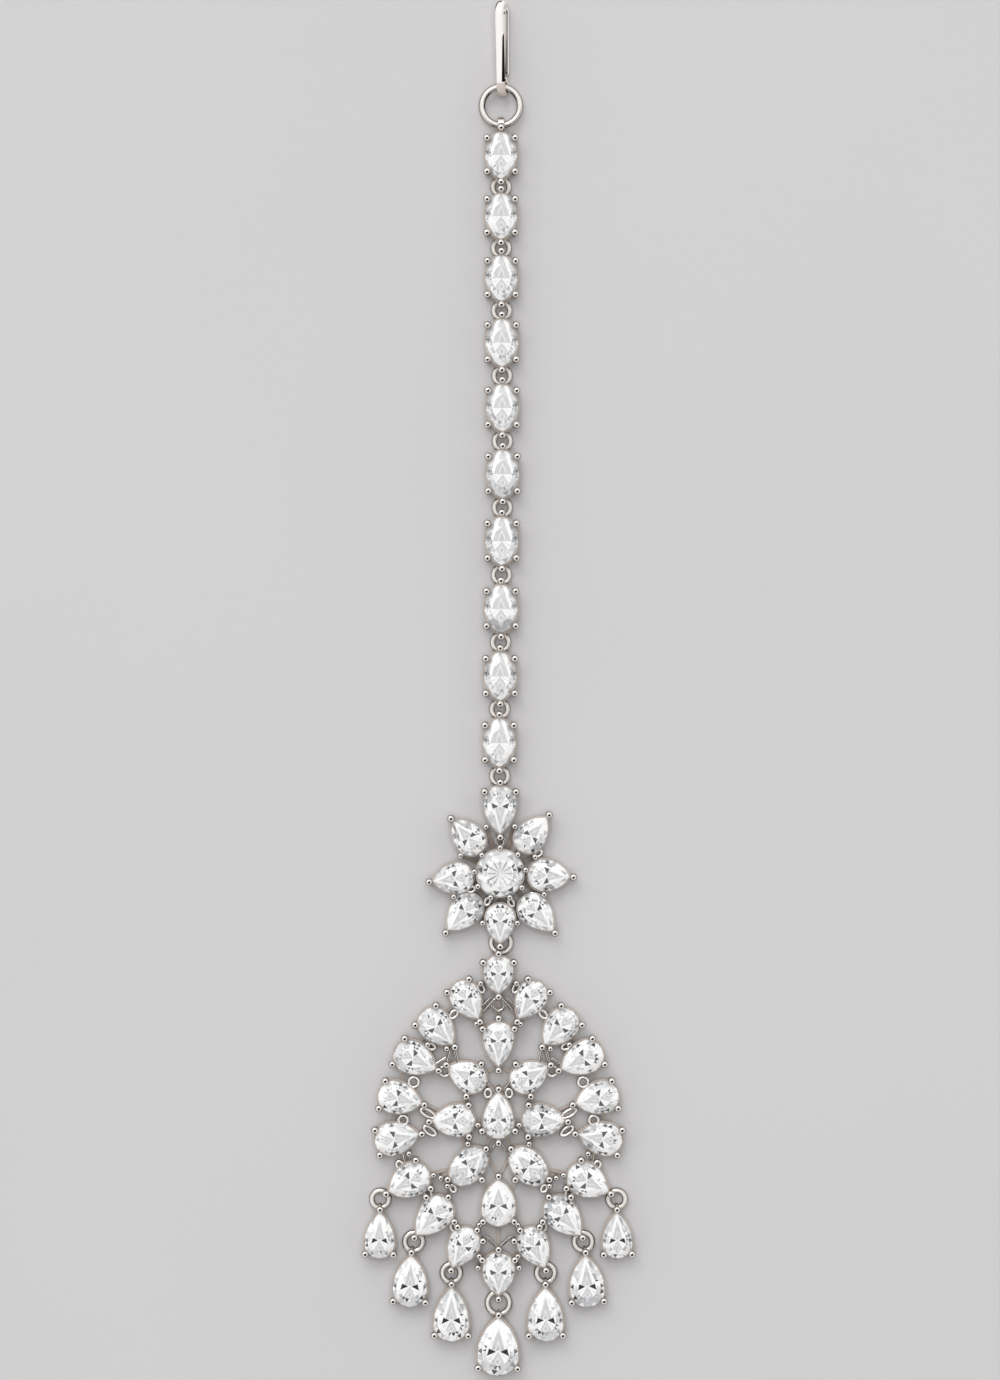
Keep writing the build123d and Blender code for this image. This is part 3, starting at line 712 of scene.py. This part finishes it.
def ringedCells(tree, on, angle, count, rings, zigzag, salt):
    # a number for each facet of a ringed pattern whose rings zigzag, and which lie in the corners
    wave = times(tree, angle, count)
    fold = times(tree, maths(tree, "PINGPONG", wave, 0.5), 2.0)
    ringPlace = scaled(tree, on["reach"], rings, times(tree, fold, zigzag))
    corner = under(tree, maths(tree, "FRACT", ringPlace), fold)
    ring = maths(tree, "FLOOR", ringPlace)
    odd = times(tree, maths(tree, "MODULO", ring, 2.0), 0.5)
    sector = maths(tree, "FLOOR", maths(tree, "ADD", wave, odd))
    ringKey, sectorKey, seedKey = stonePlan["cellKeys"]
    key = scaled(tree, ring, ringKey, times(tree, sector, sectorKey))
    key = maths(tree, "ADD", key, times(tree, on["seed"], seedKey))
    return chance(tree, maths(tree, "ADD", key, salt)), corner


def greys(steps):
    # shades as colours
    return [(place, (shade, shade, shade)) for place, shade in steps]


def outerFacets(tree, on, speck):
    # towards the girdle: painted reflections of broad tones and specks, and the painted grey shoulders
    # and veil of the chain's ovals
    broad = ringedCells(tree, on, unsigned(tree, on["turn"]), **stonePlan["broadCells"])[0]
    tones = [(place, stonePlan[tone]) for place, tone in stonePlan["toneSteps"]]
    colour = blended(tree, 1.0, stepped(tree, broad, tones), speck, "MULTIPLY")
    roundness, start, share = stonePlan["shoulder"]
    spread = maths(tree, "ADD", maths(tree, "POWER", on["sideways"], roundness),
                   maths(tree, "POWER", unsigned(tree, on["along"]), roundness))
    shoulder = times(tree, over(tree, spread, start), times(tree, on["oval"], share))
    colour = blended(tree, shoulder, colour, solid(stonePlan["edge"]))
    veil = times(tree, on["above"], times(tree, on["oval"], stonePlan["veil"]))
    return blended(tree, veil, colour, solid(stonePlan["grey"]))


def middleKites(tree, on):
    # the painted grey reflection kites of the two halves, and how far out a place is in the upper one
    upperLean, lowerLean = stonePlan["kiteLean"]
    slope, strength = stonePlan["ovalKites"]
    forKind = scaled(tree, on["winged"], 1 - slope, slope)
    upperPlace = times(tree, scaled(tree, on["along"], upperLean, on["sideways"]), forKind)
    lowered = unsigned(tree, maths(tree, "ADD", on["along"], stonePlan["lowerKite"]))
    lowerPlace = scaled(tree, lowered, lowerLean, on["sideways"])
    upper = times(tree, stepped(tree, upperPlace, greys(stonePlan["upperBands"])), on["above"])
    lower = times(tree, stepped(tree, lowerPlace, greys(stonePlan["lowerBands"])), on["below"])
    kites = times(tree, maths(tree, "ADD", upper, lower), on["kited"],
                  scaled(tree, on["winged"], 1 - strength, strength))
    return kites, upperPlace


def middleRays(tree, on):
    # painted grey reflection rays and wedges, and the painted dark spokes of the plain centre stone
    count, width, strength = stonePlan["rays"]
    wave = times(tree, on["turn"], count)
    fromRay = maths(tree, "PINGPONG", wave, 0.5)
    rayShare = times(tree, largest(tree, on["below"], on["plain"]),
                     scaled(tree, on["plain"], stonePlan["plainRays"], strength))
    ray = times(tree, under(tree, fromRay, width), rayShare)

    spokeKey, seedKey = stonePlan["spokeKeys"]
    key = scaled(tree, maths(tree, "ROUND", wave), spokeKey, times(tree, on["seed"], seedKey))
    drawn = chance(tree, key)
    ends = ranged(tree, drawn, 0.0, 1.0, *stonePlan["spokeEnds"])
    depth = ranged(tree, drawn, *stonePlan["spokeChance"], *stonePlan["spokeStrength"])
    spoke = times(tree, under(tree, fromRay, stonePlan["spokeWidth"]), on["plain"],
                  under(tree, on["reach"], ends),
                  over(tree, on["reach"], stonePlan["spokeStart"]), depth)
    least, reach, wedgeStrength = stonePlan["wedge"]
    wedge = times(tree, over(tree, drawn, least), on["plain"],
                  under(tree, on["reach"], reach), wedgeStrength)
    return largest(tree, ray, wedge), spoke


def darkWings(tree, on):
    # the painted dark bow reflection, to both sides of the middle
    along, sideways = on["along"], on["sideways"]
    endSlope, end = stonePlan["wingEnd"]
    wing = times(tree, under(tree, along, scaled(tree, sideways, *stonePlan["wingTop"])),
                 over(tree, along, scaled(tree, sideways, *stonePlan["wingFoot"])),
                 under(tree, scaled(tree, along, endSlope, sideways), end), on["winged"])
    return times(tree, wing, on["bow"])


def darkSides(tree, on, corner):
    # the painted darker reflection facets near the girdle, at both sides
    def forKind(name):
        value, ovalMore = stonePlan[name]
        return scaled(tree, on["oval"], ovalMore, value)

    middle, half = stonePlan["sideHeight"]
    height = unsigned(tree, maths(tree, "SUBTRACT", on["along"], middle))
    strength = scaled(tree, corner, forKind("sideCorner"), forKind("sidePlain"))
    return times(tree, under(tree, height, half),
                 over(tree, on["sideways"], forKind("sideStart")), strength)


def makeStone():
    # every tone here is a painted reflection of facets seen through the stone
    material, tree, shader = newMaterial("brightStone")
    on = readStone(tree)
    fineTurn = maths(tree, "ADD", on["turn"], stonePlan["fineShift"])
    fine, corner = ringedCells(tree, on, fineTurn, **stonePlan["fineCells"])
    limit, most = stonePlan["blackSpecks"]
    black = times(tree, under(tree, on["along"], limit), maths(tree, "SUBTRACT", 1.0, on["oval"]))
    fine = maths(tree, "MINIMUM", times(tree, fine, corner), scaled(tree, black, 1 - most, most))
    speck = stepped(tree, fine, greys(stonePlan["speckSteps"]))
    outer = outerFacets(tree, on, speck)

    kites, upperPlace = middleKites(tree, on)
    rays, spoke = middleRays(tree, on)
    waist = times(tree, under(tree, unsigned(tree, on["along"]), stonePlan["band"]),
                  times(tree, on["oval"], stonePlan["waist"]))
    middle = blended(tree, largest(tree, kites, rays, waist),
                     solid(stonePlan["white"]), solid(stonePlan["grey"]))
    middle = blended(tree, stonePlan["middleSpecks"], middle, speck, "MULTIPLY")
    clear = times(tree, under(tree, upperPlace, stonePlan["clearPlace"]), on["above"], on["kited"])
    clear = largest(tree, clear, under(tree, on["reach"], stonePlan["clearReach"]))
    colour = blended(tree, clear, outer, middle)

    dark = largest(tree, darkWings(tree, on), darkSides(tree, on, corner), spoke)
    colour = blended(tree, dark, colour, solid(stonePlan["dark"]))
    tree.links.new(colour, shader.inputs["Base Color"])
    shader.inputs["Roughness"].default_value = stonePlan["roughness"]
    shader.inputs["IOR"].default_value = stonePlan["ior"]
    return material


brightStone = makeStone()


def bowOf(name):
    return next(amount for part, amount in stonePlan["bow"].items() if part in name)


def dressStone(name, node):
    piece = newPiece(name + "_cut", cutMesh(name + "_cut", node.data, bowOf(name)), brightStone)
    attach(piece, "root")
    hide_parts(name)


for name, node in list(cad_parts.items()):
    if "stone" in name:
        dressStone(name, node)
print("stones ready")


# small wire loops between the settings
loopPlan = {
    "wire": 0.22,            # mm, radius
    "height": 1.36,          # mm, of the wire's axis
    "centreUp": 19.555,      # mm, the fan's centre above the lowest point of its inner stones
    "steps": (28, 8),        # round a loop, round its wire
    # right half, from the fan's centre: x, y, length, width in mm, bearing in degrees
    "rows": (
        (2.10, 17.10, 1.10, 0.70, 60), (5.35, 14.00, 1.20, 0.70, -45),
        (8.10, 10.15, 1.10, 0.70, 20), (6.42, 7.20, 1.20, 1.20, 0),
        (10.14, 5.88, 1.20, 1.20, 0), (8.45, 2.15, 1.95, 0.75, 30),
        (11.40, 1.32, 1.10, 1.10, 0), (8.22, 0.06, 1.70, 0.75, 36),
        (1.26, 4.56, 1.00, 0.80, 90), (11.80, -4.02, 0.95, 0.75, 60),
        (5.46, -6.84, 0.90, 0.65, 60), (8.46, -7.50, 1.35, 0.80, 70),
        (5.30, -11.50, 1.10, 0.75, 60),
    ),
    # the same round the flower's centre, both halves given
    "flowerRows": (
        (-1.52, -3.45, 0.95, 0.60, 60), (1.32, -3.60, 0.95, 0.60, -55),
        (4.06, -2.75, 1.00, 0.60, -25), (-3.45, -2.00, 0.90, 0.60, 30),
        (4.54, 2.30, 1.00, 0.65, 40), (-3.75, 2.55, 0.90, 0.60, -35),
    ),
}


def addLoop(made, middle, length, width, bearing, wire, steps):
    # an oval ring lying flat; length and width are of its wire's axis
    around, section = steps
    rings = []
    for step in range(around):
        angle = 2 * pi * step / around
        across, along = cos(angle) * length / 2, sin(angle) * width / 2
        outX, outY = cos(angle) * width / 2, sin(angle) * length / 2
        size = hypot(outX, outY)
        outX, outY = outX / size, outY / size
        ring = []
        for part in range(section):
            tilt = 2 * pi * part / section
            x = across + outX * wire * cos(tilt)
            y = along + outY * wire * cos(tilt)
            turnedX = x * cos(bearing) - y * sin(bearing)
            turnedY = x * sin(bearing) + y * cos(bearing)
            spot = Vector((turnedX, turnedY, wire * sin(tilt))) * mm + middle
            ring.append(made.verts.new(spot))
        rings.append(ring)
    for step in range(around):
        this, after = rings[step], rings[(step + 1) % around]
        for part in range(section):
            other = (part + 1) % section
            made.faces.new((this[part], after[part], after[other], this[other])).smooth = True


def makeLoops(name, middleX, middleY, rows):
    made = bmesh.new()
    axisHeight = cadBox[0].z + loopPlan["height"] * mm
    for x, y, length, width, bearing in rows:
        middle = Vector((middleX + x * mm, middleY + y * mm, axisHeight))
        addLoop(made, middle, length, width, radians(bearing), loopPlan["wire"], loopPlan["steps"])
    piece = newPiece(name, finishedMesh(made, name), linkMetal)
    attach(piece, "root")


fanLow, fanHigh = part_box("fan_stones_inner")
leftRows = [(-x, y, length, width, -bearing) for x, y, length, width, bearing in loopPlan["rows"]]
makeLoops("fan_loops", (fanLow.x + fanHigh.x) / 2, fanLow.y + loopPlan["centreUp"] * mm,
          list(loopPlan["rows"]) + leftRows)
centreLow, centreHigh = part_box("flower_centre_stone")
makeLoops("flower_loops", (centreLow.x + centreHigh.x) / 2, (centreLow.y + centreHigh.y) / 2,
          loopPlan["flowerRows"])
print("loops ready")


# jump rings with the bolder wire
ringPlan = {
    "nodes": ("chain_rings", "fan_ring", "drop_rings"),
    "wire": 1.55,            # of the solid's wire
    "steps": (48, 10),       # round a ring, round its wire
}


def ringBoxes(mesh):
    # the corners of the box round each separate ring of a node
    boxes = []
    for part in looseParts(mesh):
        low = Vector([min(place[axis] for place in part) for axis in range(3)])
        high = Vector([max(place[axis] for place in part) for axis in range(3)])
        boxes.append((low, high))
    return sorted(boxes, key=lambda box: (round(box[0].y, 6), round(box[0].x, 6)))


def makeRings(name):
    made = bmesh.new()
    for low, high in ringBoxes(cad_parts[name].data):
        middle = (low + high) / 2
        wire = (high.z - low.z) / 2 / mm * ringPlan["wire"]
        reach = (high.x - low.x) / 2 / mm
        size = 2 * (reach - wire)
        addLoop(made, middle, size, size, 0.0, wire, ringPlan["steps"])
    piece = newPiece(name + "_bold", finishedMesh(made, name + "_bold"), linkMetal)
    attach(piece, "root")
    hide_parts(name)


for name in ringPlan["nodes"]:
    makeRings(name)
print("rings ready")


# the solids' own metal
nodeMetal = {"hook": polishedMetal, "hook_ring": ringMetal, "flower_setting": nestedMetal}
for name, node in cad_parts.items():
    if "stone" in name:
        continue
    node.data.materials.clear()
    node.data.materials.append(nodeMetal.get(name, settingMetal))
    node.data.shade_smooth()
print("solids ready")
